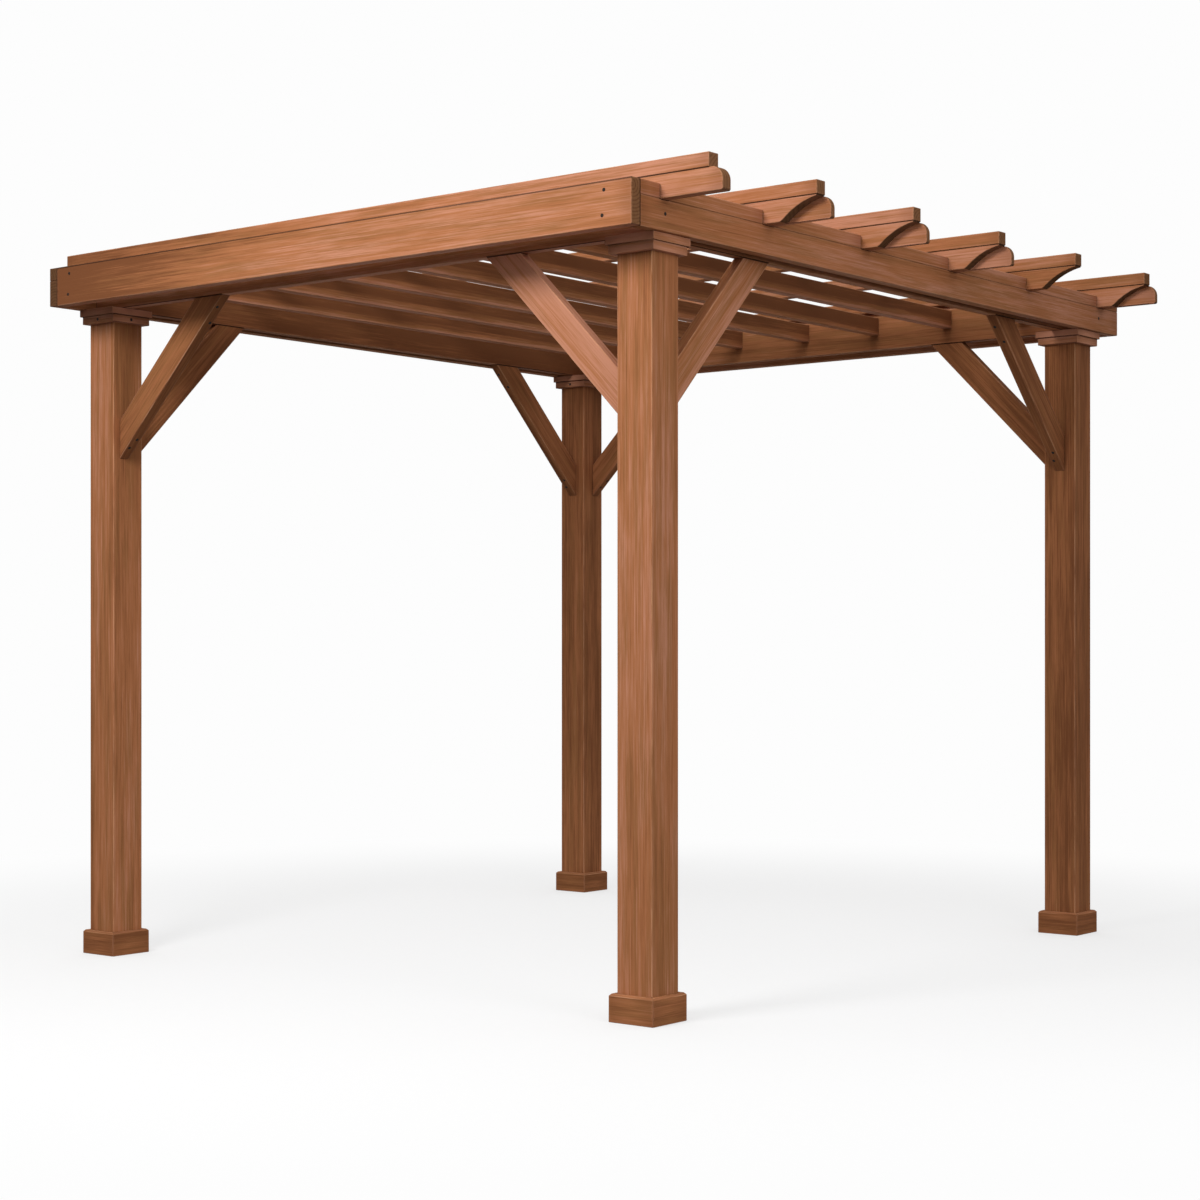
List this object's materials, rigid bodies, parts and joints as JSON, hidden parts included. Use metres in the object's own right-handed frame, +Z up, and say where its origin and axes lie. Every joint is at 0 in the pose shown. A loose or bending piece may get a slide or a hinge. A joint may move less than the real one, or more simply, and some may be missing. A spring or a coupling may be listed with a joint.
{
  "type": "garden pergola",
  "caption": "Open timber garden pergola on square posts with knee braces, double beams, joists and cross strips with curved tails overhanging one side",
  "frame": {"origin": "on the ground under the middle of the overall outline", "axes": "X left to right with the overhanging tails at +X, Y front to back with the plain front beam at -Y, Z up"},
  "size_m": [2.929, 3.074, 2.505],
  "materials": {
    "stained_wood": "satin"
  },
  "bodies": {
    "root": {"post_front_left": "stained_wood", "post_front_right": "stained_wood", "post_back_left": "stained_wood", "post_back_right": "stained_wood", "base_front_left": "stained_wood", "base_front_right": "stained_wood", "base_back_left": "stained_wood", "base_back_right": "stained_wood", "capital_front_left": "stained_wood", "capital_front_right": "stained_wood", "capital_back_left": "stained_wood", "capital_back_right": "stained_wood", "beam_front_outer": "stained_wood", "beam_back_outer": "stained_wood", "beam_left_lower": "stained_wood", "beam_right_lower": "stained_wood", "blocking_left": "stained_wood", "blocking_right": "stained_wood", "beam_front_inner": "stained_wood", "beam_back_inner": "stained_wood", "beam_left_inner": "stained_wood", "beam_right_inner": "stained_wood", "joists": "stained_wood", "brace_front_left_x": "stained_wood", "brace_front_right_x": "stained_wood", "brace_back_left_x": "stained_wood", "brace_back_right_x": "stained_wood", "brace_front_left_y": "stained_wood", "brace_front_right_y": "stained_wood", "brace_back_left_y": "stained_wood", "brace_back_right_y": "stained_wood", "strip_1": "stained_wood", "strip_2": "stained_wood", "strip_3": "stained_wood", "strip_4": "stained_wood", "strip_5": "stained_wood", "strip_6": "stained_wood", "round_board_1": "stained_wood", "round_board_2": "stained_wood", "round_board_3": "stained_wood", "round_board_4": "stained_wood", "round_board_6": "stained_wood", "round_stubs_left": "stained_wood", "ogee_tail_2": "stained_wood", "ogee_tail_3": "stained_wood", "ogee_tail_4": "stained_wood", "ogee_tail_5": "stained_wood", "ogee_tail_6": "stained_wood"}
  },
  "joints": []
}
